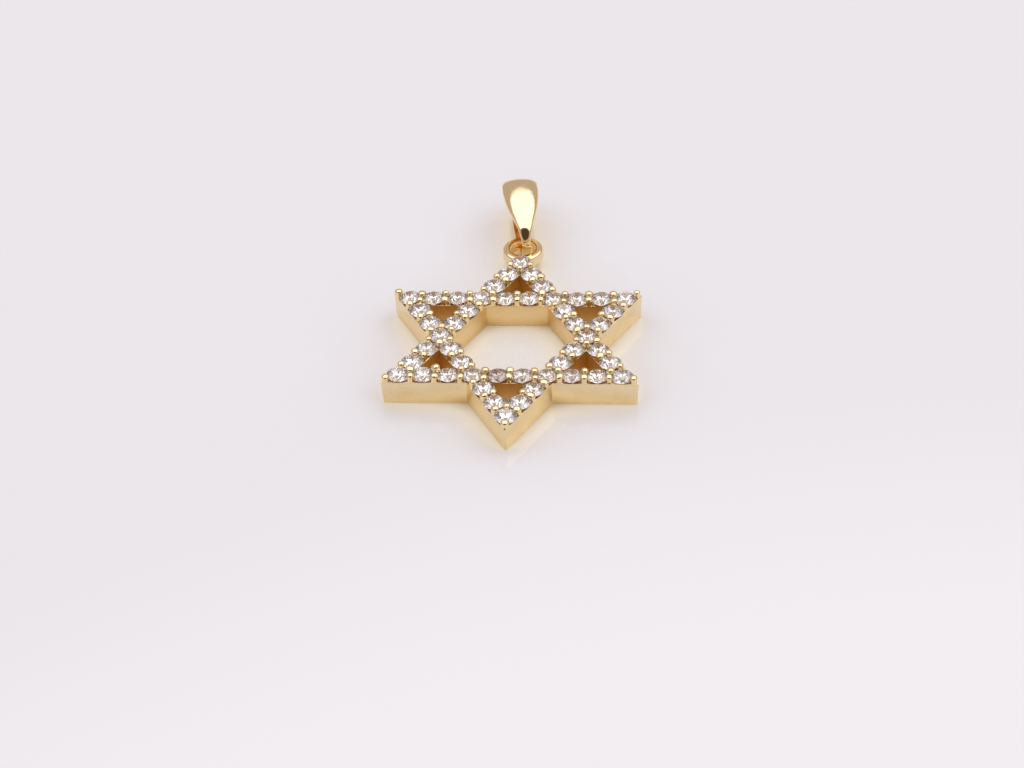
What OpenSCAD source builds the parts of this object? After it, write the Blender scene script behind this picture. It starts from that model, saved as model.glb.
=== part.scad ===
// Six-pointed star pendant set with round brilliants, with a soldered ring and a tapered bail.
// It lies on its back: Z = 0 is the surface under it, and +Y runs from its lower point to the bail.

/* [Stones] */
// Diameter of each round brilliant
stone_d = 1.38; // [1.2:0.01:1.7]
// Free space between the girdles of neighbouring stones
stone_gap = 0.12; // [0.1:0.01:0.25]
// Steps from the stone in a point of the star to the stone where two bars cross
point_steps = 3; // [2:1:4]
// Width of a stone's table as a share of its diameter
table_share = 0.56; // [0.5:0.01:0.62]
// Slope of the main facets above the girdle, in degrees
crown_angle = 34.5; // [31:0.5:37]
// Slope of the main facets below the girdle, in degrees
pavilion_angle = 40.75; // [39:0.25:43]
// Thickness of the girdle
girdle_t = 0.04; // [0.02:0.01:0.07]

/* [Bars] */
// Width of the bars that make the two triangles
bar_w = 1.2; // [1.1:0.02:1.4]
// Height of the bars
wall_h = 1.55; // [1.4:0.05:2.2]
// Depth filed off each sharp point of the star, at its upper edge
tip_file = 0.04; // [0.02:0.01:0.1]
// Lean of that filed face, in degrees from upright
tip_lean = 4; // [1:0.5:6]

/* [Seats] */
// Height of the girdles above the bars
girdle_rise = 0.17; // [0.1:0.01:0.25]
// Free space between a stone and the metal round it
seat_clear = 0.03; // [0.02:0.005:0.05]
// Diameter of the light hole behind each stone
light_hole_d = 0.7; // [0.4:0.05:0.8]

/* [Prongs] */
// Diameter of a prong's shank
prong_d = 0.4; // [0.3:0.01:0.44]
// Width of the lip where the bead on its end stands out round the shank
bead_lip = 0.04; // [0.02:0.01:0.06]
// Height of the beads above the girdles
bead_rise = 0.34; // [0.26:0.01:0.4]
// Distance by which a shank stands back from the face of the wall that it grows from
prong_back = 0.01; // [0.01:0.005:0.04]
// Depth of a shank below the upper face of the bars
prong_root = 0.35; // [0.2:0.05:0.6]

/* [Ring] */
// Outer diameter of the ring soldered to the upper point
ring_od = 2.6; // [2.5:0.1:3.4]
// Width of the ring's wire, which is square with round edges
ring_w = 0.6; // [0.44:0.02:0.64]
// Height of the ring's wire
ring_h = 0.7; // [0.5:0.02:0.76]
// Radius of the wire's edges
ring_round = 0.16; // [0.08:0.01:0.2]
// Height of the ring's middle above the middle of the walls
ring_rise = 0.14; // [0:0.01:0.2]
// Depth of the upper point in the wire
ring_bite = 0.26; // [0.2:0.01:0.34]

/* [Bail] */
// Length between the centres of the bail's two round ends
bail_len = 3.2; // [2.8:0.05:4]
// Outer diameter of its upper end, where the chain passes
bail_top_d = 3.56; // [2.8:0.02:3.8]
// Outer diameter of its lower end
bail_tip_d = 2.7; // [2.4:0.02:3]
// Radius of its face, which is a shallow arc from one end to the other
bail_face_r = 22; // [8:0.5:30]
// Width of its face, over the upper end
bail_w = 2.3; // [1.6:0.05:2.8]
// Width of its back, where it lies on the surface
bail_back_w = 1.1; // [0.7:0.05:2]
// Width of its lower end
bail_tip_w = 0.55; // [0.4:0.02:0.7]
// Share of its length over which it widens
bail_taper = 0.9; // [0.5:0.01:1]
// Thickness of its wall along the middle of the face, where the face is widest
bail_wall = 0.5; // [0.3:0.01:0.55]
// Thickness of its wall at the edges of the face
bail_edge = 0.16; // [0.12:0.01:0.24]
// Free space round the ring's wire in its lower end
bail_clear = 0.12; // [0.11:0.01:0.2]
// Turn of the bail away from the star's axis, in degrees
bail_turn = 8; // [0:1:10]
// Distance by which its lower end hangs to the right of the ring's middle
bail_side = 0.08; // [0:0.01:0.12]

/* [Hidden] */
$fn = 48;
cut_over = 1;

// Stones stand one pitch apart on every bar, and each point of the star is an even triangle of them
pitch = stone_d + stone_gap;
point_side = point_steps * pitch;
stone_r = stone_d / 2;
girdle_z = wall_h + girdle_rise;
crown_h = stone_r * (1 - table_share) * tan(crown_angle);
pavilion_h = stone_r * tan(pavilion_angle);
// Share of the way from girdle to culet that the lower halves reach, and the turn between stones
lower_half_share = 0.77;
stone_turn = 137.5;

corner_r = sqrt(3) * point_side;
tip_r = corner_r + bar_w;
notch_r = point_side + bar_w / sqrt(3);
hexagon_r = point_side - bar_w / sqrt(3);
hole_r = point_side / sqrt(3) - bar_w;
hole_centre_r = corner_r - point_side / sqrt(3);

// A prong's axis lies this far inside the wall that it grows from
prong_inset = prong_d / 2 + prong_back;
prong_side = bar_w / 2 - prong_inset;
bead_r = prong_d / 2 + bead_lip;
bead_z = girdle_z + bead_rise - bead_r;

ring_r = (ring_od - ring_w) / 2;
ring_z = wall_h / 2 + ring_rise;
ring_tip_y = tip_r - tip_file - (wall_h - ring_z) * tan(tip_lean);
ring_y = ring_tip_y - ring_bite + ring_od / 2;

// Both ends of the bail lie on the surface, and its lower end hangs round the ring's wire
bail_top_inner_r = bail_top_d / 2 - bail_wall;
bail_tip_inner_r = bail_tip_d / 2 - wall_at(bail_tip_w);
bail_top_z = bail_top_inner_r + wall_at(bail_back_w);
bail_tip_z = bail_tip_inner_r + wall_at(bail_back_w);
ring_reach = norm([ring_w / 2 - ring_round, ring_h / 2 - ring_round]) + ring_round;
// The turn and the place to the right bring a corner of the lower end nearer to the wire
ring_hole_r = ring_r - ring_w / 2;
tip_slant = bail_tip_w / 2 * sin(bail_turn) + ring_hole_r - sqrt(ring_hole_r ^ 2 - bail_side ^ 2);
tip_reach = bail_tip_inner_r - bail_clear - tip_slant - ring_reach;
// Place of the lower end's centre past the ring's wire
bail_tip_along = sqrt(max(tip_reach ^ 2 - (bail_tip_z - ring_z) ^ 2, 0));
bail_y = ring_y + ring_r;
bail_rise = bail_top_z - bail_tip_z;
bail_axis = norm([bail_len, bail_rise]);
bail_axis_angle = atan2(bail_rise, bail_len);
bail_back_lean = asin((bail_top_inner_r - bail_tip_inner_r) / bail_axis);

// Bands of the bail round its upper end, round its lower end, along each side and across its dome
top_bands = round($fn / 3);
tip_bands = round($fn / 6);
side_bands = round($fn / 6);
dome_bands = round($fn / 6);
// Angle round the upper end over which the back widens to the face
narrowing_angle = 180;

function turned(p, a) = [p[0] * cos(a) - p[1] * sin(a), p[0] * sin(a) + p[1] * cos(a)];
function between(a, b, t) = a + (b - a) * t;
function eased(t) = let (s = min(max(t, 0), 1)) s * s * (3 - 2 * s);

// Stones at the three corners of a point of the star: its tip and the two crossings
point_tip = [0, corner_r];
crossing_left = point_tip + turned([point_side, 0], -120);
crossing_right = point_tip + turned([point_side, 0], -60);
point_sides = [
    [point_tip, crossing_left],
    [crossing_left, crossing_right],
    [crossing_right, point_tip]
];
point_middle = [0, hole_centre_r];

point_stones = concat(
    [point_tip, crossing_left],
    [for (side = point_sides) for (k = [1 : point_steps - 1])
        between(side[0], side[1], k / point_steps)]
);

// Each gap between stones has a prong on both edges of its bar, and in a corner two become one
function gap_middle(side, k) = between(side[0], side[1], (k + 0.5) / point_steps);
function outward(side) = turned((side[1] - side[0]) / norm(side[1] - side[0]), -90);
outer_prongs = [for (side = point_sides) for (k = [0 : point_steps - 1])
    gap_middle(side, k) + prong_side * outward(side)];
inner_prongs = [for (side = point_sides) for (k = [1 : 1 : point_steps - 2])
    gap_middle(side, k) - prong_side * outward(side)];
corner_prongs = [for (a = [90, 210, 330])
    point_middle + (point_side - pitch) / sqrt(3) * [cos(a), sin(a)]];
tip_prong = point_tip + [0, bar_w - 2 * prong_inset];
point_prongs = concat(outer_prongs, inner_prongs, corner_prongs);

all_stones = [for (k = [0 : 5]) for (p = point_stones) turned(p, 60 * k)];

// The bail's path is a loop, given by the place and the outward angle of its inner face. Its face is
// an arc that both round ends touch from inside, and its back is straight
function arc_station(centre, r, a) = [centre[0] + r * cos(a), centre[1] + r * sin(a), a];
function arc_stations(centre, r, from, to, bands) =
    [for (k = [0 : bands]) arc_station(centre, r, between(from, to, k / bands))];
function way(from, to) = atan2(to[1] - from[1], to[0] - from[0]);
tip_centre = [bail_tip_along, bail_tip_z];
top_centre = tip_centre + [bail_len, bail_rise];
top_arm = bail_face_r - bail_top_inner_r;
tip_arm = bail_face_r - bail_tip_inner_r;
face_foot = (top_arm ^ 2 - tip_arm ^ 2 + bail_axis ^ 2) / (2 * bail_axis);
face_centre = top_centre
    + turned([face_foot, sqrt(top_arm ^ 2 - face_foot ^ 2)], bail_axis_angle + 180);
face_start = way(face_centre, top_centre);
face_end = way(face_centre, tip_centre);
back_angle = bail_axis_angle - 90 - bail_back_lean;
top_stations = arc_stations(top_centre, bail_top_inner_r, back_angle, face_start, top_bands);
face_stations = arc_stations(face_centre, bail_face_r, face_start, face_end, side_bands);
tip_stations = arc_stations(tip_centre, bail_tip_inner_r, face_end, back_angle + 360, tip_bands);
back_stations = [for (k = [1 : side_bands - 1])
    let (p = between(tip_stations[tip_bands], top_stations[0], k / side_bands))
        [p[0], p[1], back_angle]];
bail_path = concat(
    top_stations,
    [for (k = [1 : side_bands - 1]) face_stations[k]],
    tip_stations,
    back_stations
);

// The strip widens from its lower end on, and over the upper end it narrows from its face to its back
function widening(past_tip) =
    sin(90 * min(max(past_tip / (bail_taper * (bail_len + bail_tip_inner_r)), 0), 1));
function strip_width(along, angle) =
    let (from_back = (angle > 180 ? angle - 360 : angle) - back_angle)
    let (wide = between(bail_back_w, bail_w, eased(from_back / narrowing_angle)))
    between(bail_tip_w, wide, widening(along - bail_tip_along + bail_tip_inner_r));

// Across the strip the inner face is flat and the outer one is a low dome, lower where it is narrow
function wall_at(w) = bail_edge + (bail_wall - bail_edge) * w / bail_w;
function wall_section(w) = concat(
    [[w / 2, 0], [0, 0], [-w / 2, 0]],
    [for (k = [dome_bands : -1 : 0]) let (a = 180 * k / dome_bands)
        [w / 2 * cos(a), between(bail_edge, wall_at(w), sin(a))]]
);
section_size = dome_bands + 4;
bail_points = [for (s = bail_path) for (q = wall_section(strip_width(s[0], s[2])))
    let (along = s[0] + q[1] * cos(s[2]), flat = turned([q[0], along], bail_turn))
        [bail_side + flat[0], bail_y + flat[1], s[1] + q[1] * sin(s[2])]];

// The origin is below the middle of the whole pendant
low_y = -tip_r + tip_file;
high_y = max([for (p = bail_points) p[1]]);
middle_y = (low_y + high_y) / 2;

module placed() {
    translate([0, -middle_y, 0]) children();
}

module six_points() {
    for (k = [0 : 5]) rotate([0, 0, 60 * k]) children();
}

// Bars

module star_plate() {
    linear_extrude(wall_h)
        polygon([for (k = [0 : 11])
            let (r = k % 2 == 0 ? tip_r : notch_r, a = 90 + 30 * k) r * [cos(a), sin(a)]]);
}

module bar_openings() {
    translate([0, 0, -cut_over]) {
        cylinder(r = hexagon_r, h = wall_h + 2 * cut_over, $fn = 6);
        six_points()
            translate([0, hole_centre_r, 0])
                rotate([0, 0, 90])
                    cylinder(r = hole_r, h = wall_h + 2 * cut_over, $fn = 3);
    }
}

module filed_tips() {
    six_points()
        translate([0, tip_r - tip_file, wall_h])
            rotate([-tip_lean, 0, 0])
                translate([-bar_w, 0, -2 * wall_h])
                    cube([2 * bar_w, bar_w, 3 * wall_h]);
}

// Prongs and seats

module prong() {
    translate([0, 0, wall_h - prong_root])
        cylinder(d = prong_d, h = bead_z - wall_h + prong_root);
    translate([0, 0, bead_z])
        sphere(r = bead_r);
}

module prongs() {
    six_points()
        for (p = point_prongs) translate(p) prong();
    // The ring takes the place of the tip prong on the upper point
    for (k = [1 : 5])
        rotate([0, 0, 60 * k]) translate(tip_prong) prong();
}

function grown(angle) = seat_clear * (1 - sin(angle)) / cos(angle);

module seat() {
    hole = light_hole_d / 2;
    wide = stone_r + seat_clear;
    girdle_low = -girdle_t / 2 - grown(pavilion_angle);
    girdle_high = girdle_t / 2 + grown(crown_angle);
    top = girdle_t / 2 + crown_h + seat_clear;
    translate([0, 0, girdle_z])
        rotate_extrude()
            polygon([
                [0, -girdle_z - cut_over],
                [hole, -girdle_z - cut_over],
                [hole, girdle_low - (wide - hole) * tan(pavilion_angle)],
                [wide, girdle_low],
                [wide, girdle_high],
                [wide - (top - girdle_high) / tan(crown_angle), top],
                [0, top]
            ]);
}

module ring_section() {
    square([ring_w - 2 * ring_round, ring_h], center = true);
    square([ring_w, ring_h - 2 * ring_round], center = true);
    for (x = [-1, 1]) for (y = [-1, 1])
        translate([x * (ring_w / 2 - ring_round), y * (ring_h / 2 - ring_round)])
            circle(r = ring_round);
}

module soldered_ring() {
    translate([0, ring_y, ring_z])
        rotate_extrude()
            translate([ring_r, 0]) ring_section();
}

module star_frame() {
    color("#dcbc78") placed() {
        difference() {
            union() {
                difference() {
                    star_plate();
                    bar_openings();
                    filed_tips();
                }
                prongs();
                soldered_ring();
            }
            for (p = all_stones) translate(p) seat();
        }
    }
}

// Stones

module brilliant() {
    table_r = stone_r * table_share;
    star_r = (table_r * cos(22.5) + stone_r) / 2;
    lower_r = stone_r * (1 - lower_half_share);
    table_z = girdle_t / 2 + crown_h;
    star_z = girdle_t / 2 + (stone_r - star_r * cos(22.5)) * tan(crown_angle);
    lower_z = -girdle_t / 2 - (stone_r - lower_r * cos(22.5)) * tan(pavilion_angle);
    culet_z = -girdle_t / 2 - pavilion_h;
    function ring(n, r, start, z) =
        [for (k = [0 : n - 1]) let (a = start + 360 * k / n) [r * cos(a), r * sin(a), z]];
    points = concat(
        ring(8, table_r, 0, table_z),
        ring(8, star_r, 22.5, star_z),
        ring(16, stone_r, 0, girdle_t / 2),
        ring(16, stone_r, 0, -girdle_t / 2),
        ring(8, lower_r, 22.5, lower_z),
        [[0, 0, culet_z]]
    );
    // First point of each ring in the list
    star = 8;
    upper = 16;
    lower = 32;
    half = 48;
    culet = 56;
    function at(first, n, k) = first + (k + n) % n;
    faces = concat(
        [[for (k = [7 : -1 : 0]) k]],
        [for (k = [0 : 7]) each [
            [at(0, 8, k), at(0, 8, k + 1), at(star, 8, k)],
            [at(0, 8, k), at(star, 8, k), at(upper, 16, 2 * k), at(star, 8, k - 1)],
            [at(star, 8, k), at(upper, 16, 2 * k + 1), at(upper, 16, 2 * k)],
            [at(star, 8, k), at(upper, 16, 2 * k + 2), at(upper, 16, 2 * k + 1)],
            [at(half, 8, k), at(lower, 16, 2 * k), at(lower, 16, 2 * k + 1)],
            [at(half, 8, k), at(lower, 16, 2 * k + 1), at(lower, 16, 2 * k + 2)],
            [culet, at(half, 8, k - 1), at(lower, 16, 2 * k), at(half, 8, k)]
        ]],
        [for (k = [0 : 15])
            [at(upper, 16, k), at(upper, 16, k + 1), at(lower, 16, k + 1), at(lower, 16, k)]]
    );
    polyhedron(points, faces);
}

module stones() {
    color("#eceaf2") placed()
        for (k = [0 : len(all_stones) - 1])
            translate([all_stones[k][0], all_stones[k][1], girdle_z])
                rotate([0, 0, stone_turn * k])
                    brilliant();
}

// Bail

module bail() {
    rings = len(bail_path);
    function at(i, j) = (i % rings) * section_size + j % section_size;
    color("#dcbc78") placed()
        polyhedron(
            bail_points,
            [for (i = [0 : rings - 1]) for (j = [0 : section_size - 1]) each [
                [at(i, j), at(i + 1, j + 1), at(i + 1, j)],
                [at(i, j), at(i, j + 1), at(i + 1, j + 1)]
            ]]
        );
}

star_frame();
stones();
bail();
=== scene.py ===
"""Star pendant set with round brilliants: the looks, modelled around the packed CAD frame."""

import math
import random
from types import SimpleNamespace

import bmesh
import bpy
from bpy.props import FloatProperty, FloatVectorProperty, IntProperty, PointerProperty
from mathutils import Matrix, Vector
from mathutils.geometry import intersect_sphere_sphere_2d


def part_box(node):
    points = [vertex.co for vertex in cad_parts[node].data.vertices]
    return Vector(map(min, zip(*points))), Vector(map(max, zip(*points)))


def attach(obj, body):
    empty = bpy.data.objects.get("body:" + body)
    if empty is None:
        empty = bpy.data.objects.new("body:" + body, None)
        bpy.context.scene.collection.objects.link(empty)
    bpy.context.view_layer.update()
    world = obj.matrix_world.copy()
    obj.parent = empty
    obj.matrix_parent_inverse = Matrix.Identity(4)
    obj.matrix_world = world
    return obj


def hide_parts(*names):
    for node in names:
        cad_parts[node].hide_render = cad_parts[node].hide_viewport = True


bl_info = {
    "name": "Star Pendant",
    "version": (1, 0, 0),
    "blender": (4, 5, 0),
    "location": "3D View > Sidebar > Pendant",
    "description": "Models a six-pointed star pendant set with round brilliants",
    "category": "Add Mesh",
}

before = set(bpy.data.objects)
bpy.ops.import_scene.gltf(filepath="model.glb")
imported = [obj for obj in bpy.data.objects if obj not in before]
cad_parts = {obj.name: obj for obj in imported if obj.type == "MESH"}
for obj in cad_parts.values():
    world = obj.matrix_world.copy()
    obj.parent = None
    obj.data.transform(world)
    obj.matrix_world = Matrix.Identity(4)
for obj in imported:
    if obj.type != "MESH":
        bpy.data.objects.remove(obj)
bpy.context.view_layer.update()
STAR_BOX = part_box("star_frame")

# Meshes are modelled in millimetres and made metres at the end
MM = 0.001
# Vertices that are nearer to each other than this are one, in millimetres
MERGE = 1e-5
# Distance by which a cutter reaches past the metal, in millimetres
OVERSHOOT = 1.0
# Start of every row of random numbers, so that each run gives the same pendant
SEED = 48


# Properties


def length(size_mm, name, description):
    """A length property whose default is given in millimetres."""
    return FloatProperty(
        name=name,
        description=description,
        default=size_mm * MM,
        min=0.0,
        precision=5,
        subtype="DISTANCE",
        unit="LENGTH",
    )


def offset(size_mm, name, description):
    """A length property that may be negative, whose default is given in millimetres."""
    return FloatProperty(
        name=name,
        description=description,
        default=size_mm * MM,
        precision=5,
        subtype="DISTANCE",
        unit="LENGTH",
    )


def angle(degrees, name, description):
    """An angle property whose default is given in degrees."""
    return FloatProperty(
        name=name,
        description=description,
        default=math.radians(degrees),
        subtype="ANGLE",
        unit="ROTATION",
    )


def share(value, name, description):
    """A property that is a share of something, from 0 to 1."""
    return FloatProperty(
        name=name, description=description, default=value, min=0.0, max=1.0, subtype="FACTOR"
    )


def amount(value, name, description):
    """A plain number with no unit."""
    return FloatProperty(name=name, description=description, default=value)


def colour(red, green, blue, name, description):
    """A colour property."""
    return FloatVectorProperty(
        name=name,
        description=description,
        default=(red, green, blue),
        min=0.0,
        max=1.0,
        subtype="COLOR",
    )


class StarSizes(bpy.types.PropertyGroup):
    """Sizes of the two crossing triangles of bars."""

    stone_pitch: length(1.5, "Stone pitch", "Distance between the middles of neighbouring stones")
    point_steps: IntProperty(
        name="Point steps",
        description="Steps from the stone in a point of the star to a crossing of two bars",
        default=3,
        min=2,
    )
    bar_width: length(1.2, "Bar width", "Width of each bar")
    bar_height: length(1.55, "Bar height", "Height of each bar")
    rim: length(0.022, "Rim", "Width of the rounding along the edges of the bars")
    fillet: length(0.1, "Fillet", "Width of the fillet in each notch between two points")
    tip_file: length(0.04, "Tip file", "Depth filed off each sharp point at its upper edge")
    tip_lean: angle(4.0, "Tip lean", "Lean of the filed face from upright")


class StoneSizes(bpy.types.PropertyGroup):
    """Cut of the round brilliants and their seats."""

    diameter: length(1.38, "Diameter", "Diameter of each brilliant")
    girdle: length(0.04, "Girdle", "Thickness of the girdle")
    rise: length(0.17, "Girdle rise", "Height of the girdles above the bars")
    table_share: share(0.56, "Table", "Width of the table as a share of the diameter")
    lower_half_share: share(0.77, "Lower halves", "Share of the pavilion that the lower halves reach")
    crown_angle: angle(34.5, "Crown angle", "Slope of the main facets above the girdle")
    pavilion_angle: angle(40.75, "Pavilion angle", "Slope of the main facets below the girdle")
    tilt: angle(4.0, "Tilt", "Largest tilt of a stone in its seat")
    facet_stray: angle(0.5, "Facet stray", "Largest error of a facet's slope")
    tinted: IntProperty(
        name="Tinted stone",
        description="Number of the one stone, in the front bar, that is clearly brownish",
        default=29,
        min=0,
    )
    clear: length(0.07, "Seat clearance", "Free space between a stone and its seat")
    light_hole: length(0.7, "Light hole", "Diameter of the hole behind each stone")


class ProngSizes(bpy.types.PropertyGroup):
    """Sizes of the prongs and the beads on them."""

    shank: length(0.45, "Shank", "Diameter of a prong's shank")
    root: length(0.07, "Root", "Depth of a shank below the upper face of the bars")
    bead: length(0.48, "Bead", "Diameter of the bead on the end of a prong")
    bead_rise: length(0.3, "Bead rise", "Height of the bead's top above the girdles")
    bead_height: length(0.18, "Bead height", "Height of the bead's dome")
    bend: length(0.09, "Bend", "Distance by which a bead is pushed over its stones")
    lean: length(0.03, "Lean", "Largest distance by which a bead stands to one side")
    stray: share(0.13, "Stray", "Largest difference of a bead's size from the others")
    tall_prong: IntProperty(
        name="Tall prong",
        description="Number of the one prong, on the lower left point, that stands out",
        default=33,
        min=0,
    )
    tall: length(0.2, "Tall", "Height by which the tall prong stands out")
    tip_inset: length(0.36, "Tip inset", "Distance of a tip prong's middle from the sharp tip")


class RingSizes(bpy.types.PropertyGroup):
    """Sizes of the soldered ring."""

    outside: length(2.6, "Outer diameter", "Outer diameter of the ring")
    width: length(0.6, "Width", "Width of the ring's wire, which is square with round edges")
    height: length(0.7, "Height", "Height of the ring's wire")
    edge: length(0.16, "Edge", "Radius of the wire's edges")
    rise: length(0.14, "Rise", "Height of the ring's middle above the middle of the bars")
    bite: length(0.26, "Bite", "Depth of the upper point in the wire")


class BailSizes(bpy.types.PropertyGroup):
    """Sizes of the tapered bail."""

    reach: length(3.2, "Length", "Length between the centres of the two round ends")
    top: length(3.56, "Upper end", "Outer diameter of the upper end")
    tip: length(2.7, "Lower end", "Outer diameter of the lower end")
    face_curve: length(22.0, "Face curve", "Radius of the face, a shallow arc from end to end")
    face_width: length(2.3, "Face width", "Width of the face over the upper end")
    back_width: length(1.1, "Back width", "Width of the back, where it lies on the surface")
    tip_width: length(0.55, "Tip width", "Width of the lower end")
    taper: share(0.9, "Taper", "Share of the length over which the face widens")
    wall: length(0.5, "Wall", "Thickness along the middle of the face")
    edge: length(0.16, "Edge", "Thickness at the edges of the face")
    rim: length(0.05, "Rim", "Width of the rounding along the edges")
    clear: length(0.12, "Clearance", "Free space round the ring's wire")
    narrowing: angle(180.0, "Narrowing", "Angle over which the back widens to the face")
    turn: angle(8.0, "Turn", "Turn of the bail away from the star's axis")
    side: length(0.08, "Side", "Distance by which the lower end hangs to the right")


class Finishes(bpy.types.PropertyGroup):
    """Colours and finishes."""

    gold: colour(0.93, 0.765, 0.475, "Gold", "Colour of the yellow gold")
    deep_gold: colour(0.89, 0.71, 0.41, "Deep gold", "Colour of the gold where it is less polished")
    # Painted shade: colour of the gold on the walls of the openings, darker and more orange for the
    # light that bounces between them
    painted_shade_gold_in_openings: colour(0.86, 0.64, 0.32, "Cast gold", "Colour of the gold in the narrow holes")
    pit: colour(0.30, 0.20, 0.08, "Pit", "Colour in the small casting pits")
    satin: share(0.17, "Satin", "Roughness of the walls of the bars")
    polish: share(0.09, "Polish", "Roughness of the beads, ring and bail")
    stone: colour(0.98, 0.975, 1.0, "Stone", "Colour of the clearest stones")
    stone_tint: colour(0.62, 0.50, 0.44, "Stone tint", "Colour of the most tinted stone")
    stone_index: amount(2.42, "Index", "Index of refraction of the stones")


class StageSettings(bpy.types.PropertyGroup):
    """Camera, floor and light."""

    lens: FloatProperty(
        name="Lens",
        description="Focal length of the camera",
        default=91.4,
        unit="CAMERA",
    )
    distance: length(159.4, "Distance", "Distance from the camera to the middle of the star")
    azimuth: angle(5.14, "Azimuth", "Angle of the camera round the star")
    elevation: angle(38.21, "Elevation", "Angle of the camera above the floor")
    roll: angle(-2.74, "Roll", "Roll of the camera")
    sideways: offset(-0.09, "Sideways", "Distance by which the camera stands to the right")
    upwards: offset(-2.95, "Upwards", "Distance by which the camera stands towards its own top")
    floor: colour(0.44, 0.43, 0.44, "Floor", "Colour of the glossy floor")
    glow: amount(0.5, "Glow", "Strength of the light that comes up through the floor")
    open_glow: colour(0.80, 0.79, 0.84, "Open glow", "Colour of the glow in the open")
    # Painted shade: the floor's glow is dimmer and warmer near the gold
    painted_shade_near_gold: colour(0.61, 0.52, 0.50, "Near glow", "Colour of the glow near the gold")
    # Painted reflection of the gold: the floor's glow is peach at the gold's foot
    painted_gold_reflection_at_foot: colour(1.0, 0.86, 0.61, "Foot glow", "Colour of the glow at the foot of the gold")
    # Painted shade: the floor's glow is dark orange in the narrow holes
    painted_shade_in_holes: colour(0.45, 0.26, 0.06, "Deep glow", "Colour of the glow in narrow holes")
    sky: amount(1.7, "Sky", "Strength of the soft light above")
    top_sky: colour(1.0, 0.99, 1.0, "Top", "Colour of the soft light above")
    side_sky: colour(0.32, 0.272, 0.255, "Sides", "Colour of the surroundings at the sides")
    near_sky: colour(0.045, 0.032, 0.022, "Near side", "Colour of what is behind the camera")


def in_mm(group):
    """The values of a group of properties, with its lengths in millimetres."""
    values = {}
    for name, kind in group.bl_rna.properties.items():
        if name in ("rna_type", "name"):
            continue
        value = getattr(group, name)
        is_length = kind.type == "FLOAT" and kind.unit == "LENGTH"
        values[name] = value / MM if is_length else value
    return SimpleNamespace(**values)


# Plan of the star, in millimetres from its middle


def polar(radius, degrees, height=0.0):
    """A point at a radius and an angle round the Z axis."""
    turn = math.radians(degrees)
    return Vector((radius * math.cos(turn), radius * math.sin(turn), height))


def turned(point, degrees):
    """A point turned round the Z axis."""
    return Matrix.Rotation(math.radians(degrees), 3, "Z") @ point


def eased(share_of_way):
    """A smooth step from 0 to 1."""
    t = min(max(share_of_way, 0.0), 1.0)
    return t * t * (3 - 2 * t)


def mixed(low, high, share_of_way):
    """A value on the way from low to high."""
    return low + (high - low) * share_of_way


def star_plan(scene):
    """Radii, heights and the places of stones and prongs, as the CAD has them."""
    star = in_mm(scene.star_sizes)
    stone = in_mm(scene.stone_sizes)
    prong = in_mm(scene.prong_sizes)
    side = star.point_steps * star.stone_pitch
    corner = math.sqrt(3) * side
    tip = Vector((0, corner, 0))
    left = tip + polar(side, -120)
    right = tip + polar(side, -60)
    sides = [(tip, left), (left, right), (right, tip)]
    reach = (star.bar_width - prong.shank) / 2
    hole_middle = Vector((0, corner - side / math.sqrt(3), 0))

    stones = [tip, left]
    prongs = []
    for start, end in sides:
        out = turned((end - start).normalized(), -90)
        for k in range(star.point_steps):
            middle = start.lerp(end, (k + 0.5) / star.point_steps)
            prongs.append((middle + reach * out, -out))
            if 0 < k < star.point_steps - 1:
                prongs.append((middle - reach * out, out))
        stones += [start.lerp(end, k / star.point_steps) for k in range(1, star.point_steps)]
    corner_reach = (side - star.stone_pitch) / math.sqrt(3)
    prongs += [(hole_middle + polar(corner_reach, a), polar(1, a)) for a in (90, 210, 330)]
    # A tip prong stands close to the sharp tip and is hardly bent
    tip_bend = 0.1
    by_tip = tip + Vector((0, star.bar_width - prong.tip_inset, 0))
    tip_prong = (by_tip, Vector((0, -tip_bend, 0)))
    all_prongs = []
    for k in range(6):
        # The ring takes the place of the tip prong on the upper point
        on_point = prongs + [tip_prong] if k else prongs
        all_prongs += [(turned(p, 60 * k), turned(inward, 60 * k)) for p, inward in on_point]

    tip_radius = corner + star.bar_width
    return SimpleNamespace(
        tip_radius=tip_radius,
        notch_radius=side + star.bar_width / math.sqrt(3),
        hexagon_radius=side - star.bar_width / math.sqrt(3),
        hole_radius=side / math.sqrt(3) - star.bar_width,
        hole_middle=hole_middle,
        girdle_height=star.bar_height + stone.rise,
        stones=[turned(p, 60 * k) for k in range(6) for p in stones],
        prongs=all_prongs,
        middle=Vector((0, STAR_BOX[0].y / MM + tip_radius - star.tip_file, 0)),
    )


def ring_middle(scene, plan):
    """Middle of the soldered ring and the radius of its wire's centreline."""
    star = in_mm(scene.star_sizes)
    ring = in_mm(scene.ring_sizes)
    height = star.bar_height / 2 + ring.rise
    tip = plan.tip_radius - star.tip_file - (star.bar_height - height) * math.tan(star.tip_lean)
    return Vector((0, tip - ring.bite + ring.outside / 2, height)), (ring.outside - ring.width) / 2


# Mesh work


def spun(bm, profile, steps):
    """Spins a profile of (radius, height) points round the Z axis, in an empty bmesh."""
    corners = [bm.verts.new((radius, 0, height)) for radius, height in profile]
    edges = [bm.edges.new(pair) for pair in zip(corners, corners[1:])]
    bmesh.ops.spin(
        bm,
        geom=corners + edges,
        cent=(0, 0, 0),
        axis=(0, 0, 1),
        angle=math.tau,
        steps=steps,
        use_merge=True,
    )
    bmesh.ops.remove_doubles(bm, verts=bm.verts[:], dist=MERGE)


def spread(bm, places):
    """Copies all that is in bm to each of the places, which are matrices, and drops the first."""
    first = bm.verts[:] + bm.edges[:] + bm.faces[:]
    for place in places:
        copy = bmesh.ops.duplicate(bm, geom=first)["geom"]
        verts = [g for g in copy if isinstance(g, bmesh.types.BMVert)]
        bmesh.ops.transform(bm, matrix=place, verts=verts)
    bmesh.ops.delete(bm, geom=[g for g in first if isinstance(g, bmesh.types.BMVert)], context="VERTS")


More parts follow.
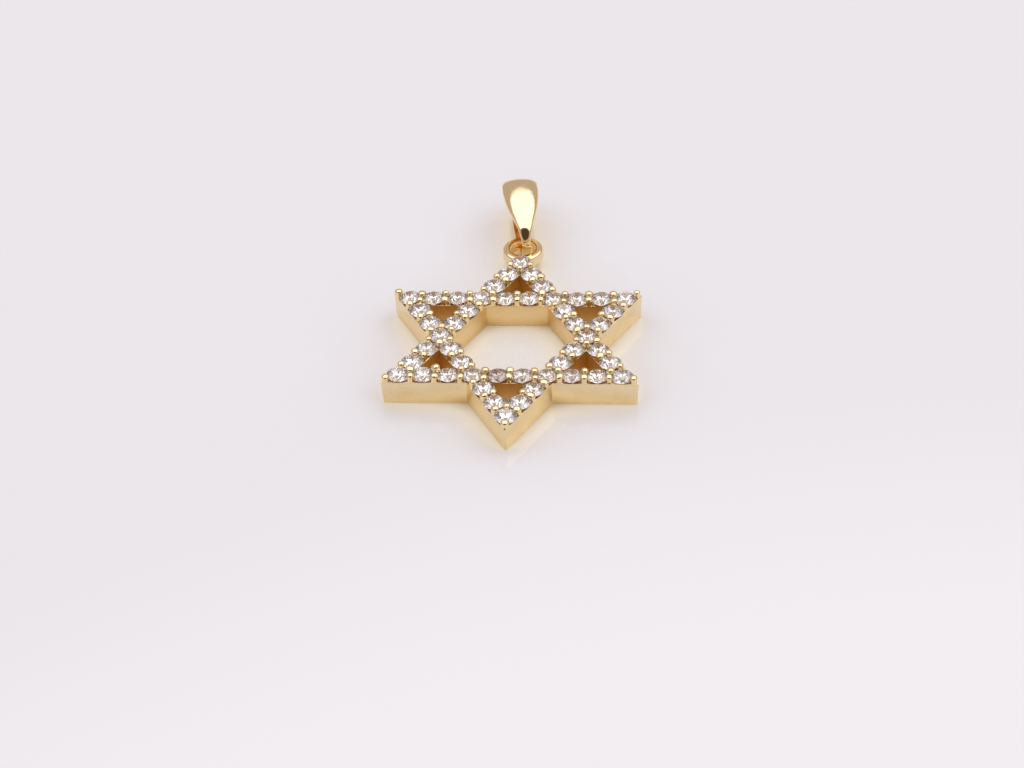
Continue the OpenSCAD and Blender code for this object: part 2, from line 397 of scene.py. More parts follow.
def new_object(name, bm):
    """An object for a finished bmesh."""
    bmesh.ops.recalc_face_normals(bm, faces=bm.faces[:])
    mesh = bpy.data.meshes.new(name)
    bm.to_mesh(mesh)
    bm.free()
    made = bpy.data.objects.new(name, mesh)
    bpy.context.scene.collection.objects.link(made)
    return made


def cut_away(body, cutter):
    """Cuts one object's solids out of another's and removes the first."""
    cut = body.modifiers.new("Cut", "BOOLEAN")
    cut.operation = "DIFFERENCE"
    cut.solver = "EXACT"
    cut.object = cutter
    graph = bpy.context.evaluated_depsgraph_get()
    result = bpy.data.meshes.new_from_object(body.evaluated_get(graph))
    body.modifiers.clear()
    body.data = result
    bpy.data.objects.remove(cutter)
    if not result.polygons:
        raise RuntimeError(f"the cut left nothing of {body.name}")


def finish_piece(piece, plan, material, node, smooth_degrees=None):
    """Puts a piece in the row frame in metres, gives it its material and body, and hides the CAD node
    that it replaces.
    """
    piece.data.transform(Matrix.Scale(MM, 4) @ Matrix.Translation(plan.middle))
    piece.data.materials.clear()
    piece.data.materials.append(material)
    if smooth_degrees is None:
        piece.data.shade_flat()
    else:
        piece.data.shade_smooth()
        piece.data.set_sharp_from_angle(angle=math.radians(smooth_degrees))
    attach(piece, "root")
    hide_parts(node)


def level_rims(bm):
    """Level edges at which two faces meet at a clear angle."""
    clear_angle = math.radians(20)
    level_within = 1e-4
    level = [e for e in bm.edges if abs(e.verts[0].co.z - e.verts[1].co.z) < level_within]
    return [e for e in level if e.is_manifold and e.calc_face_angle(0.0) > clear_angle]


def seat_cutter(scene, plan, clear):
    """An object with the shape that each stone and its light hole take out of the metal."""
    stone = in_mm(scene.stone_sizes)

    def grown(slope):
        return clear * (1 - math.sin(slope)) / math.cos(slope)

    hole = stone.light_hole / 2
    wide = stone.diameter / 2 + clear
    low = plan.girdle_height - stone.girdle / 2 - grown(stone.pavilion_angle)
    high = plan.girdle_height + stone.girdle / 2 + grown(stone.crown_angle)
    crown = stone.diameter / 2 * (1 - stone.table_share) * math.tan(stone.crown_angle)
    top = plan.girdle_height + stone.girdle / 2 + crown + clear
    bm = bmesh.new()
    spun(
        bm,
        [
            (0, -OVERSHOOT),
            (hole, -OVERSHOOT),
            (hole, low - (wide - hole) * math.tan(stone.pavilion_angle)),
            (wide, low),
            (wide, high),
            (wide - (top - high) / math.tan(stone.crown_angle), top),
            (0, top),
        ],
        steps=40,
    )
    spread(bm, [Matrix.Translation(p) for p in plan.stones])
    return new_object("seat_cutter", bm)


def mark_inside(mesh, plan):
    """Marks the walls of the six small holes 1 and those of the hexagon 0.6, for the material."""
    in_small_hole = 1.0
    in_hexagon = 0.6
    steep = 0.3
    holes = [turned(plan.hole_middle, 60 * k) for k in range(6)]
    inside = mesh.attributes.new("inside", "FLOAT", "FACE")
    for face in mesh.polygons:
        if abs(face.normal.z) < steep:
            centre = Vector((face.center.x, face.center.y, 0))
            if min((centre - hole).length for hole in holes) < plan.hole_radius:
                inside.data[face.index].value = in_small_hole
            elif centre.length < plan.hexagon_radius:
                inside.data[face.index].value = in_hexagon


def rounded(bm, corners, width, segments, affect="EDGES"):
    """Rounds some edges of a bmesh, or the vertices of a flat outline."""
    bmesh.ops.bevel(
        bm,
        geom=corners,
        offset=width,
        offset_type="OFFSET",
        segments=segments,
        profile=0.5,
        affect=affect,
        material=-1,
    )


def star_block(star, plan):
    """The star without openings, with filed points and a fillet in each notch."""
    bm = bmesh.new()
    outline = bmesh.ops.create_circle(bm, cap_ends=True, segments=12, radius=plan.tip_radius)["verts"]
    notch = plan.notch_radius / plan.tip_radius
    bmesh.ops.scale(bm, vec=(notch, notch, 1), verts=outline[1::2])
    raised = bmesh.ops.extrude_face_region(bm, geom=bm.faces[:])["geom"]
    raised = [g for g in raised if isinstance(g, bmesh.types.BMVert)]
    bmesh.ops.translate(bm, vec=(0, 0, star.bar_height), verts=raised)
    for k in range(6):
        out = polar(1, 90 + 60 * k)
        cut = bmesh.ops.bisect_plane(
            bm,
            geom=bm.verts[:] + bm.edges[:] + bm.faces[:],
            plane_co=out * (plan.tip_radius - star.tip_file) + Vector((0, 0, star.bar_height)),
            plane_no=out * math.cos(star.tip_lean) - Vector((0, 0, math.sin(star.tip_lean))),
            clear_outer=True,
        )["geom_cut"]
        bmesh.ops.contextual_create(bm, geom=[g for g in cut if isinstance(g, bmesh.types.BMEdge)])
    notches = [e for e in bm.edges if e.is_manifold and not e.is_convex]
    rounded(bm, notches, star.fillet, segments=4)
    return new_object("star_bars", bm)


def opening_cutter(star, plan):
    """An object with the shapes of the hexagon and the six small holes, taller than the bars."""
    bm = bmesh.new()
    prism = dict(cap_ends=True, depth=star.bar_height + 2 * OVERSHOOT)
    middle = Matrix.Translation((0, 0, star.bar_height / 2))
    bmesh.ops.create_cone(
        bm,
        segments=3,
        radius1=plan.hole_radius,
        radius2=plan.hole_radius,
        matrix=middle @ Matrix.Translation(plan.hole_middle),
        **prism,
    )
    spread(bm, [Matrix.Rotation(math.radians(60 * k), 4, "Z") for k in range(6)])
    bmesh.ops.create_cone(
        bm,
        segments=6,
        radius1=plan.hexagon_radius,
        radius2=plan.hexagon_radius,
        matrix=middle @ Matrix.Rotation(math.radians(30), 4, "Z"),
        **prism,
    )
    return new_object("openings", bm)


def star_bars(scene, plan):
    """The two crossing triangles of bars, with rounded rims and a seat for every stone."""
    star = in_mm(scene.star_sizes)
    bars = star_block(star, plan)
    cut_away(bars, opening_cutter(star, plan))
    bm = bmesh.new()
    bm.from_mesh(bars.data)
    rounded(bm, level_rims(bm), star.rim, segments=3)
    bm.to_mesh(bars.data)
    bm.free()
    cut_away(bars, seat_cutter(scene, plan, in_mm(scene.stone_sizes).clear))
    mark_inside(bars.data, plan)
    return bars


def prong_profile(prong, top, foot):
    """Half outline (radius, height) of a prong: the bead's full dome, a short neck and the shank."""
    bead = prong.bead / 2
    shank = prong.shank / 2
    lip = top - prong.bead_height
    bands = 8
    side_fullness = 0.9
    top_fullness = 0.8
    profile = []
    for k in range(bands + 1):
        descent = math.radians(90 * k / bands)
        radius = bead * math.sin(descent) ** side_fullness
        profile.append((radius, lip + prong.bead_height * math.cos(descent) ** top_fullness))
    # The neck goes from the bead's width to the shank's: share of the way, depth below the lip
    neck = ((0.2, 0.05), (0.8, 0.12), (1.0, 0.17))
    profile += [(mixed(bead, shank, way), lip - depth) for way, depth in neck]
    return profile + [(shank, foot), (0, foot)]


def prongs(scene, plan):
    """Prongs whose ends are pushed over the stones as flat beads, cut where they hold them."""
    prong = in_mm(scene.prong_sizes)
    top = plan.girdle_height + prong.bead_rise
    foot = in_mm(scene.star_sizes).bar_height - prong.root
    rise = top - foot
    bm = bmesh.new()
    spun(bm, prong_profile(prong, top, foot), steps=20)

    # Each prong differs a little from the others
    dice = random.Random(SEED)
    length_range = (-0.4, 1)
    height_range = (-0.03, 0.02)
    bend_range = (0.6, 1.3)
    tilt_range = (-0.22, 0.22)
    places = []
    for index, (p, inward) in enumerate(plan.prongs):
        grow = 1 + dice.uniform(-1, 1) * prong.stray
        longer = 1 + dice.uniform(*length_range) * prong.stray
        higher = dice.uniform(*height_range) + (prong.tall if index == prong.tall_prong else 0)
        push = prong.bend * dice.uniform(*bend_range) * inward
        push += prong.lean * dice.uniform(-1, 1) * turned(inward, 90)
        bend = Matrix.Identity(4)
        bend[0][2] = push.x / rise
        bend[1][2] = push.y / rise
        bend[2][2] = 1 + higher / rise
        root = Matrix.Translation((0, 0, foot))
        size = Matrix.Diagonal((grow, grow * longer, 1, 1))
        spin = Matrix.Rotation(dice.uniform(0, math.tau), 4, "Z")
        tilt = Matrix.Rotation(dice.uniform(*tilt_range), 4, "X")
        crown = Matrix.Translation((0, 0, rise - prong.bead_height))
        whole = root @ bend @ crown @ spin @ tilt @ size @ crown.inverted() @ root.inverted()
        places.append(Matrix.Translation(p) @ whole)
    spread(bm, places)
    made = new_object("prongs", bm)
    # The metal of a prong all but touches the stones that it holds
    touch = 0.01
    cut_away(made, seat_cutter(scene, plan, touch))
    return made


def soldered_ring(scene, plan):
    """The ring of square wire with round edges that is soldered to the upper point."""
    ring = in_mm(scene.ring_sizes)
    middle, radius = ring_middle(scene, plan)
    bm = bmesh.new()
    corner = Matrix.Rotation(math.radians(45), 3, "Z")
    wire = bmesh.ops.create_circle(bm, segments=4, radius=math.sqrt(0.5))["verts"]
    bmesh.ops.rotate(bm, matrix=corner, verts=wire)
    bmesh.ops.scale(bm, vec=(ring.width, ring.height, 1), verts=wire)
    rounded(bm, wire, ring.edge, segments=5, affect="VERTICES")
    section = bm.verts[:]
    bmesh.ops.rotate(bm, matrix=Matrix.Rotation(math.radians(90), 3, "X"), verts=section)
    bmesh.ops.translate(bm, vec=middle + Vector((radius, 0, 0)), verts=section)
    bmesh.ops.spin(
        bm,
        geom=section + bm.edges[:],
        cent=middle,
        axis=(0, 0, 1),
        angle=math.tau,
        steps=64,
        use_merge=True,
    )
    bmesh.ops.remove_doubles(bm, verts=bm.verts[:], dist=MERGE)
    return new_object("soldered_ring", bm)


def facet_planes(stone, dice):
    """Each facet as the middle of three of its corners and its outward direction."""
    # Largest differences from stone to stone: of the table's share and of the slopes in degrees
    table_stray, crown_stray, pavilion_stray = 0.02, 1.2, 0.5
    radius = stone.diameter / 2
    table = radius * (stone.table_share + dice.uniform(-table_stray, table_stray))
    crown_slope = stone.crown_angle + math.radians(dice.uniform(-crown_stray, crown_stray))
    pavilion_slope = stone.pavilion_angle + math.radians(dice.uniform(-pavilion_stray, pavilion_stray))
    half_step = 22.5
    half_chord = math.cos(math.radians(half_step))
    star = (table * half_chord + radius) / 2
    lower = radius * (1 - stone.lower_half_share)
    upper_edge = stone.girdle / 2
    table_height = upper_edge + (radius - table) * math.tan(crown_slope)
    star_height = upper_edge + (radius - star * half_chord) * math.tan(crown_slope)
    lower_height = -upper_edge - (radius - lower * half_chord) * math.tan(pavilion_slope)
    culet = Vector((0, 0, -upper_edge - radius * math.tan(pavilion_slope)))

    corners = [[polar(table, turn, table_height) for turn in (0, 90, 180)]]
    for k in range(8):
        turns = [half_step * (2 * k + i) for i in range(3)]
        table_start, table_end = (polar(table, turn, table_height) for turn in turns[::2])
        star_point = polar(star, turns[1], star_height)
        lower_point = polar(lower, turns[1], lower_height)
        above = [polar(radius, turn, upper_edge) for turn in turns]
        below = [polar(radius, turn, -upper_edge) for turn in turns]
        corners += [[table_start, table_end, star_point], [table_start, star_point, above[0]]]
        corners += [[star_point, above[1], above[0]], [star_point, above[2], above[1]]]
        corners += [[lower_point, below[0], below[1]], [lower_point, below[1], below[2]]]
        corners.append([culet, lower_point, below[0]])
    planes = []
    for a, b, c in corners:
        middle = (a + b + c) / 3
        out = (b - a).cross(c - a).normalized()
        out = out if out.dot(middle) > 0 else -out
        stray = Vector([dice.gauss(0, stone.facet_stray / 2) for _ in range(3)])
        planes.append((middle, (out + stray).normalized()))
    return planes


def cut_stone(stone, dice):
    """One round brilliant, cut facet by facet from a short cylinder."""
    bm = bmesh.new()
    radius = stone.diameter / 2
    blank_height = 1.6 * stone.diameter
    bmesh.ops.create_cone(
        bm, cap_ends=True, segments=64, radius1=radius, radius2=radius, depth=blank_height
    )
    for middle, out in facet_planes(stone, dice):
        bmesh.ops.bisect_plane(
            bm,
            geom=bm.verts[:] + bm.edges[:] + bm.faces[:],
            plane_co=middle,
            plane_no=out,
            clear_outer=True,
        )
        rim = [e for e in bm.edges if e.is_boundary]
        if rim:
            bmesh.ops.contextual_create(bm, geom=rim)
    # Facets that all but meet in a point share it
    bmesh.ops.remove_doubles(bm, verts=bm.verts[:], dist=10 * MERGE)
    return bm


def brilliants(scene, plan):
    """All the stones, each cut and seated a little differently."""
    stone = in_mm(scene.stone_sizes)
    dice = random.Random(SEED)
    most_tint = 0.3
    most_sunk = 0.05
    whole = bmesh.new()
    for index, p in enumerate(plan.stones):
        single = cut_stone(stone, dice)
        tint = single.faces.layers.float.new("tint")
        share_of_tint = 1.0 if index == stone.tinted else most_tint * dice.random() ** 2
        for face in single.faces:
            face[tint] = share_of_tint
        lean = Matrix.Rotation(dice.uniform(-1, 1) * stone.tilt, 4, "X")
        lean = lean @ Matrix.Rotation(dice.uniform(-1, 1) * stone.tilt, 4, "Y")
        spin = Matrix.Rotation(dice.uniform(0, math.tau), 4, "Z")
        height = plan.girdle_height + dice.uniform(-most_sunk, 0.0)
        place = Matrix.Translation(p + Vector((0, 0, height))) @ lean @ spin
        bmesh.ops.transform(single, matrix=place, verts=single.verts[:])
        mesh = bpy.data.meshes.new("single")
        single.to_mesh(mesh)
        single.free()
        whole.from_mesh(mesh)
        bpy.data.meshes.remove(mesh)
    return new_object("brilliants", whole)


def bail_wall(bail, width):
    """Thickness of the bail along the middle of its face, where it has a width."""
    return mixed(bail.edge, bail.wall, width / bail.face_width)


def along_arc(middle, radius, start, end, bands):
    """Stations on an arc, each a place and the angle of its outward direction."""
    stations = []
    for k in range(bands + 1):
        out = mixed(start, end, k / bands)
        stations.append((middle + radius * Vector((math.cos(out), math.sin(out))), out))
    return stations


def bail_stations(bail, ring, ring_height):
    """Stations (place, outward angle, width) round the bail's inner face.

    A place is the distance past the ring's wire and the height above the surface. Both round ends
    lie on the surface, and the face is an arc that they touch from inside.
    """
    top = bail.top / 2 - bail.wall
    tip = bail.tip / 2 - bail_wall(bail, bail.tip_width)
    lift = bail_wall(bail, bail.back_width)
    corner = math.hypot(ring.width / 2 - ring.edge, ring.height / 2 - ring.edge)
    hole = ring.outside / 2 - ring.width
    slant = bail.tip_width / 2 * math.sin(bail.turn) + hole - math.sqrt(hole**2 - bail.side**2)
    slack = tip - bail.clear - slant - corner - ring.edge
    past = math.sqrt(max(slack**2 - (tip + lift - ring_height) ** 2, 0))
    tip_middle = Vector((past, tip + lift))
    top_middle = tip_middle + Vector((bail.reach, top - tip))
    face_middle = min(
        intersect_sphere_sphere_2d(
            tip_middle, bail.face_curve - tip, top_middle, bail.face_curve - top
        ),
        key=lambda middle: middle.y,
    )

    def way(to):
        return math.atan2(to.y - face_middle.y, to.x - face_middle.x)

    back = -math.pi / 2
    top_bands, face_bands, tip_bands, back_bands = 32, 18, 22, 12
    path = along_arc(top_middle, top, back, way(top_middle), top_bands)
    path += along_arc(face_middle, bail.face_curve, way(top_middle), way(tip_middle), face_bands)[1:-1]
    path += along_arc(tip_middle, tip, way(tip_middle), back + math.tau, tip_bands)
    foot, head = path[-1][0], path[0][0]
    path += [(foot.lerp(head, k / back_bands), back) for k in range(1, back_bands)]

    stations = []
    for place, out in path:
        from_back = (out - math.tau if out > math.pi else out) - back
        wide = mixed(bail.back_width, bail.face_width, eased(from_back / bail.narrowing))
        widened = (place.x - past + tip) / (bail.taper * (bail.reach + tip))
        widened = math.sin(math.pi / 2 * min(max(widened, 0), 1))
        stations.append((place, out, mixed(bail.tip_width, wide, widened)))
    return stations


def tapered_bail(scene, plan):
    """The folded, tapered bail, lofted round its loop."""
    bail = in_mm(scene.bail_sizes)
    middle, radius = ring_middle(scene, plan)
    stations = bail_stations(bail, in_mm(scene.ring_sizes), middle.z)
    wire = Vector((bail.side, middle.y + radius, 0))
    hinge = Matrix.Translation(wire) @ Matrix.Rotation(bail.turn, 4, "Z")

    bm = bmesh.new()
    loops = []
    for place, out, width in stations:
        loop = bmesh.ops.create_circle(bm, segments=26, radius=1)["verts"]
        dome = [v for v in loop if v.co.y > 0]
        flat = [v for v in loop if v.co.y < 0]
        half = width / 2 / max(v.co.x for v in loop)
        bmesh.ops.scale(bm, vec=(half, 0, 1), verts=flat)
        bmesh.ops.scale(bm, vec=(half, bail_wall(bail, width) - bail.edge, 1), verts=dome)
        bmesh.ops.translate(bm, vec=(0, bail.edge, 0), verts=dome)
        outward = Vector((0, math.cos(out), math.sin(out)))
        across = Vector((1, 0, 0))
        lie = Matrix((across, outward, across.cross(outward))).transposed().to_4x4()
        lie = hinge @ Matrix.Translation((0, place.x, place.y)) @ lie
        bmesh.ops.transform(bm, matrix=lie, verts=loop)
        loops.append([e for e in bm.edges if e.verts[0] in loop and e.verts[1] in loop])
    for k, loop in enumerate(loops):
        bmesh.ops.bridge_loops(bm, edges=loop + loops[(k + 1) % len(loops)])
    made = new_object("tapered_bail", bm)
    rim = made.modifiers.new("Rim", "BEVEL")
    rim.limit_method = "ANGLE"
    rim.angle_limit = math.radians(40)
    rim.width = scene.bail_sizes.rim
    rim.segments = 3
    return made


# Materials


class Value:
    """A number that changes over a surface: arithmetic on it adds Math nodes."""

    def __init__(self, finish, socket):
        self.finish = finish
        self.socket = socket

    def maths(self, operation, *inputs):
        return self.finish.node("ShaderNodeMath", {"operation": operation}, dict(enumerate(inputs)))

    def __add__(self, other):
        return self.maths("ADD", self, other)

    def __sub__(self, other):
        return self.maths("SUBTRACT", self, other)

    def __rsub__(self, other):
        return self.maths("SUBTRACT", other, self)

    def __mul__(self, other):
        return self.maths("MULTIPLY", self, other)

    __radd__ = __add__
    __rmul__ = __mul__


class Finish:
    """A material or world and its nodes."""

    def __init__(self, owner):
        owner.use_nodes = True
        self.owner = owner
        self.tree = owner.node_tree
        self.tree.nodes.clear()

    def node(self, kind, settings, sockets, output=0):
        """Adds a node, sets it, feeds its sockets and returns the output that is asked for."""
        made = self.tree.nodes.new(kind)
        for name, value in settings.items():
            setattr(made, name, value)
        for name, value in sockets.items():
            if isinstance(value, Value):
                self.tree.links.new(value.socket, made.inputs[name])
            else:
                made.inputs[name].default_value = value
        return None if output is None else Value(self, made.outputs[output])

    def place(self):
        """Object coordinates, in metres."""
        return self.node("ShaderNodeTexCoord", {}, {}, "Object")

    def noise(self, size_mm, detail=2.0, stretch=(1, 1, 1), roughness=0.5):
        """Noise whose blotches are about a size."""
        place = self.node(
            "ShaderNodeMapping", {"vector_type": "POINT"}, {"Vector": self.place(), "Scale": stretch}
        )
        return self.node(
            "ShaderNodeTexNoise",
            {},
            {"Vector": place, "Scale": 1 / (size_mm * MM), "Detail": detail, "Roughness": roughness},
        )

    def step(self, value, low, high):
        """0 below low, 1 above high and smooth between them."""
        return self.node(
            "ShaderNodeMapRange",
            {"interpolation_type": "SMOOTHSTEP"},
            {"Value": value, "From Min": low, "From Max": high},
        )

    def blend(self, factor, low, high):
        """A colour between two others, by a Mix node."""
        low, high = (c if isinstance(c, Value) else (*c, 1) for c in (low, high))
        # A Mix node has sockets for each kind of data, and these are the ones for colours
        low_socket, high_socket, colour_output = 6, 7, 2
        sockets = {0: factor, low_socket: low, high_socket: high}
        return self.node("ShaderNodeMix", {"data_type": "RGBA"}, sockets, colour_output)

    def bump(self, height, depth_mm):
        """A Bump node whose height of 1 stands for a depth."""
        return self.node("ShaderNodeBump", {}, {"Height": height, "Distance": depth_mm * MM})

    def close(self, shader, output="ShaderNodeOutputMaterial"):
        """Feeds a shader to the output and returns the finished material or world."""
        self.node(output, {}, {"Surface": shader}, None)
        return self.owner


def casting_pits(finish, plan):
    """1 in the few small pits of the casting and 0 elsewhere."""
    pits = finish.step(finish.noise(0.16, detail=1), 0.735, 0.78)
    pits *= finish.step(finish.noise(1.8, detail=1), 0.5, 0.62)
    # More pits lie near the left end of the front bar, fainter than the others
    pitted_end = (plan.middle + Vector((-6.9, -4.5, 1.0))) * MM
    sockets = {0: finish.place(), 1: pitted_end}
    away = finish.node("ShaderNodeVectorMath", {"operation": "DISTANCE"}, sockets, "Value")
    close_by = 1 - finish.step(away, 0.4 * MM, 1.1 * MM)
    return pits + finish.step(finish.noise(0.11, detail=1), 0.68, 0.72) * close_by * 0.8


def metal(finish, base, rough, height):
    """Makes a finish a metal, whose bumps have heights in units of 0.002 mm."""
    height_unit = 0.002
    shader = finish.node(
        "ShaderNodeBsdfPrincipled",
        {},
        {
            "Base Color": base,
            "Metallic": 1.0,
            "Roughness": rough,
            "Normal": finish.bump(height, height_unit),
        },
    )
    return finish.close(shader)


def satin_gold(looks, plan):
    """Cast gold with a fine satin polish and a few casting pits, coarser inside the openings, where
    its colour is painted darker and more orange as shade.
    """
    finish = Finish(bpy.data.materials.new("satin_gold"))
    inside = finish.node("ShaderNodeAttribute", {"attribute_name": "inside"}, {}, "Fac")
    mottle = finish.noise(1.1, detail=3)
    grain = finish.noise(0.05, detail=3, roughness=0.7)
    pits = casting_pits(finish, plan)
    base = finish.blend(finish.step(mottle, 0.35, 0.7), looks.gold, looks.deep_gold)
    # Painted shade: inside the openings the colour goes over to a darker, more orange gold
    base = finish.blend(inside, base, looks.painted_shade_gold_in_openings)
    base = finish.blend(pits * 0.6, base, looks.pit)
    rough = looks.satin + (mottle + grain - 1) * 0.08 + (pits + inside) * 0.2
    # The grain is far deeper inside the openings, where no polish reaches
    height = grain * (inside * 10 + 0.3) + mottle * 2 - pits * 5
    return metal(finish, base, rough, height)


def polished_gold(looks):
    """Bright polished gold with faint scratches and a slight orange peel."""
    finish = Finish(bpy.data.materials.new("polished_gold"))
    peel = finish.noise(0.35, detail=2)
    scratch = finish.noise(0.05, detail=2, stretch=(1, 0.12, 1))
    cloud = finish.noise(0.9, detail=2)
    base = finish.blend(finish.step(cloud, 0.4, 0.75), looks.gold, looks.deep_gold)
    rough = looks.polish + (cloud - 0.5) * 0.06 + finish.step(scratch, 0.6, 0.75) * 0.08
    return metal(finish, base, rough, peel * 3 + scratch * 0.5)


def diamond(looks):
    """Clear stone whose tint differs a little from stone to stone."""
    finish = Finish(bpy.data.materials.new("diamond"))
    tint = finish.node("ShaderNodeAttribute", {"attribute_name": "tint"}, {}, "Fac")
    haze = finish.step(finish.noise(0.6, detail=2), 0.4, 0.8)
    base = finish.blend(tint + haze * 0.08, looks.stone, looks.stone_tint)
    smear = finish.step(finish.noise(0.8, detail=3), 0.55, 0.8) * 0.03
    shader = finish.node(
        "ShaderNodeBsdfPrincipled",
        {},
        {
            "Base Color": base,
            "Roughness": smear,
            "IOR": looks.stone_index,
            "Transmission Weight": 1.0,
        },
    )
    return finish.close(shader)


def glossy_floor(stage):
    """Pale glossy board that glows softly, with painted shade and a painted reflection in the colour
    of the gold where the gold is close by.
    """
    finish = Finish(bpy.data.materials.new("pale_floor"))
    cloud = finish.noise(60, detail=2)
    dimmer = tuple(0.985 * part for part in stage.floor)
    base = finish.blend(cloud, stage.floor, dimmer)
    sky_share_for_painted_shade = finish.node(
        "ShaderNodeAmbientOcclusion", {"samples": 8}, {"Distance": 6 * MM}, "AO"
    )
    # Painted shade and painted reflection: the glow is dark orange in narrow holes, peach at the
    # gold's foot and dimmer near the gold, and each goes over into the next as more of the sky is open
    # above
    glow = finish.blend(finish.step(sky_share_for_painted_shade, 0.3, 0.55), stage.painted_shade_in_holes, stage.painted_gold_reflection_at_foot)
    glow = finish.blend(finish.step(sky_share_for_painted_shade, 0.55, 0.84), glow, stage.painted_shade_near_gold)
    glow = finish.blend(finish.step(sky_share_for_painted_shade, 0.8, 0.94), glow, stage.open_glow)
    shader = finish.node(
        "ShaderNodeBsdfPrincipled",
        {},
        {
            "Base Color": base,
            "Roughness": 0.06,
            "Emission Color": glow,
            "Emission Strength": stage.glow,
        },
    )
    return finish.close(shader)


def studio_sky(stage):
    """Soft light from above, dimmer at the sides and dark behind the camera."""
    finish = Finish(bpy.data.worlds.new("studio_sky"))
    way = finish.node("ShaderNodeTexCoord", {}, {}, "Generated")

    def vector_maths(operation, *inputs, output="Vector"):
        sockets = dict(enumerate(inputs))
        return finish.node("ShaderNodeVectorMath", {"operation": operation}, sockets, output)

    def along(way, direction):
        return vector_maths("DOT_PRODUCT", way, direction.normalized(), output="Value")

    # The light above is narrower from side to side. The edge of each zone is given by cosines
    # of the angle from its middle.
    narrowed = vector_maths("NORMALIZE", vector_maths("MULTIPLY", way, (1.1, 1, 1)))
    light_middle = Vector((0.1, 0.03, 1.0))
    above = finish.step(along(narrowed, light_middle), 0.64, 0.72)
    dark_middle = Vector((math.sin(stage.azimuth), -math.cos(stage.azimuth), 0.72))
    near = finish.step(along(way, dark_middle), 0.82, 0.87)
    light = finish.blend(near, finish.blend(above, stage.side_sky, stage.top_sky), stage.near_sky)
    shader = finish.node("ShaderNodeBackground", {}, {"Color": light, "Strength": stage.sky})
    return finish.close(shader, "ShaderNodeOutputWorld")


# Stage


def add_camera(scene, plan):
    """The camera, at the photograph's viewing angle."""
    stage = scene.stage_settings
    azimuth, elevation, roll = stage.azimuth, stage.elevation, stage.roll
    level = math.cos(elevation)
    back = Vector((math.sin(azimuth) * level, -math.cos(azimuth) * level, math.sin(elevation)))
    right = Vector((0, 0, 1)).cross(back).normalized()
    up = back.cross(right)
    right, up = (
        math.cos(roll) * right + math.sin(roll) * up,
        math.cos(roll) * up - math.sin(roll) * right,
    )
    target = (plan.middle + Vector((0, 0, plan.girdle_height))) * MM
    camera = bpy.data.cameras.new("camera")
    camera.sensor_width = 36.0
    camera.lens = stage.lens
    camera.clip_start = 0.001
    camera.clip_end = 20.0
    seen = bpy.data.objects.new("camera", camera)
    seen.matrix_world = Matrix.Translation(
        target + back * stage.distance + right * stage.sideways + up * stage.upwards
    ) @ Matrix((right, up, back)).transposed().to_4x4()
    scene.collection.objects.link(seen)
    scene.camera = seen


def add_floor(scene):
    """The pale floor that the pendant lies on."""
    half_width = 3000
    bm = bmesh.new()
    bmesh.ops.create_grid(bm, x_segments=1, y_segments=1, size=half_width)
    floor = new_object("floor", bm)
    floor.data.transform(Matrix.Scale(MM, 4))
    floor.data.materials.append(glossy_floor(scene.stage_settings))


# Operators


class PENDANT_OT_star_bars(bpy.types.Operator):
    """Make the crossing bars of the star with a seat for every stone."""

    bl_idname = "pendant.star_bars"
    bl_label = "Star Bars"

    def execute(self, context):
        plan = star_plan(context.scene)
        piece = star_bars(context.scene, plan)
        finish_piece(piece, plan, satin_gold(context.scene.finishes, plan), "star_frame", 35)
        return {"FINISHED"}


class PENDANT_OT_prongs(bpy.types.Operator):
    """Make the prongs that hold the stones."""

    bl_idname = "pendant.prongs"
    bl_label = "Prongs"

    def execute(self, context):
        plan = star_plan(context.scene)
        piece = prongs(context.scene, plan)
        finish_piece(piece, plan, polished_gold(context.scene.finishes), "star_frame", 40)
        return {"FINISHED"}


class PENDANT_OT_ring(bpy.types.Operator):
    """Make the ring that is soldered to the upper point."""

    bl_idname = "pendant.ring"
    bl_label = "Soldered Ring"

    def execute(self, context):
        plan = star_plan(context.scene)
        piece = soldered_ring(context.scene, plan)
        finish_piece(piece, plan, polished_gold(context.scene.finishes), "star_frame", 60)
        return {"FINISHED"}


class PENDANT_OT_stones(bpy.types.Operator):
    """Cut and set the round brilliants."""

    bl_idname = "pendant.stones"
    bl_label = "Brilliants"

    def execute(self, context):
        plan = star_plan(context.scene)
        piece = brilliants(context.scene, plan)
        finish_piece(piece, plan, diamond(context.scene.finishes), "stones")
        return {"FINISHED"}


class PENDANT_OT_bail(bpy.types.Operator):
    """Make the tapered bail that hangs on the ring."""

    bl_idname = "pendant.bail"
    bl_label = "Bail"

    def execute(self, context):
        plan = star_plan(context.scene)
        piece = tapered_bail(context.scene, plan)
        finish_piece(piece, plan, polished_gold(context.scene.finishes), "bail", 40)
        return {"FINISHED"}


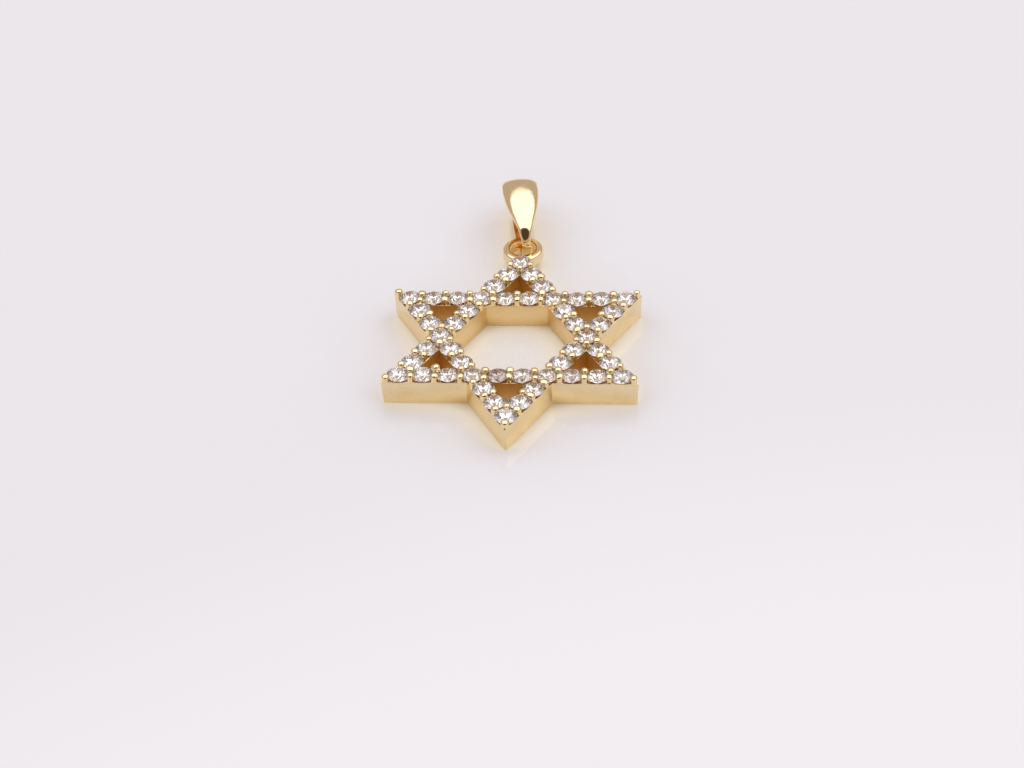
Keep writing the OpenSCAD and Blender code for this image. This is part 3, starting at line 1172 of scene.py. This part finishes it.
class PENDANT_OT_stage(bpy.types.Operator):
    """Make the camera, the floor and the lights."""

    bl_idname = "pendant.stage"
    bl_label = "Stage"

    def execute(self, context):
        scene = context.scene
        stage = scene.stage_settings
        add_camera(scene, star_plan(scene))
        add_floor(scene)
        scene.world = studio_sky(stage)
        scene.view_settings.view_transform = "Standard"
        scene.view_settings.look = "None"
        scene.cycles.max_bounces = 24
        scene.cycles.glossy_bounces = 16
        scene.cycles.transmission_bounces = 20
        return {"FINISHED"}


GROUPS = {
    "star_sizes": StarSizes,
    "stone_sizes": StoneSizes,
    "prong_sizes": ProngSizes,
    "ring_sizes": RingSizes,
    "bail_sizes": BailSizes,
    "finishes": Finishes,
    "stage_settings": StageSettings,
}
OPERATORS = (
    PENDANT_OT_star_bars,
    PENDANT_OT_prongs,
    PENDANT_OT_ring,
    PENDANT_OT_stones,
    PENDANT_OT_bail,
    PENDANT_OT_stage,
)


class VIEW3D_PT_pendant(bpy.types.Panel):
    """Lists the pendant's pieces and their sizes."""

    bl_idname = "VIEW3D_PT_pendant"
    bl_label = "Pendant"
    bl_space_type = "VIEW_3D"
    bl_region_type = "UI"
    bl_category = "Pendant"

    def draw(self, context):
        """A button for each piece and, below them, the sizes in their groups."""
        for operator in OPERATORS:
            self.layout.operator(operator.bl_idname)
        for name, group in GROUPS.items():
            box = self.layout.box()
            box.label(text=group.__doc__)
            for size in group.__annotations__:
                box.prop(getattr(context.scene, name), size)


CLASSES = (*GROUPS.values(), *OPERATORS, VIEW3D_PT_pendant)


def register():
    """Registers the classes and gives each scene the groups of sizes."""
    for each in CLASSES:
        bpy.utils.register_class(each)
    for name, group in GROUPS.items():
        setattr(bpy.types.Scene, name, PointerProperty(type=group))


def unregister():
    """Undoes what register does."""
    for name in GROUPS:
        delattr(bpy.types.Scene, name)
    for each in reversed(CLASSES):
        bpy.utils.unregister_class(each)


def main():
    """Makes the pendant and its stage."""
    register()
    for operator in OPERATORS:
        group, name = operator.bl_idname.split(".")
        getattr(getattr(bpy.ops, group), name)()


if __name__ == "__main__":
    main()
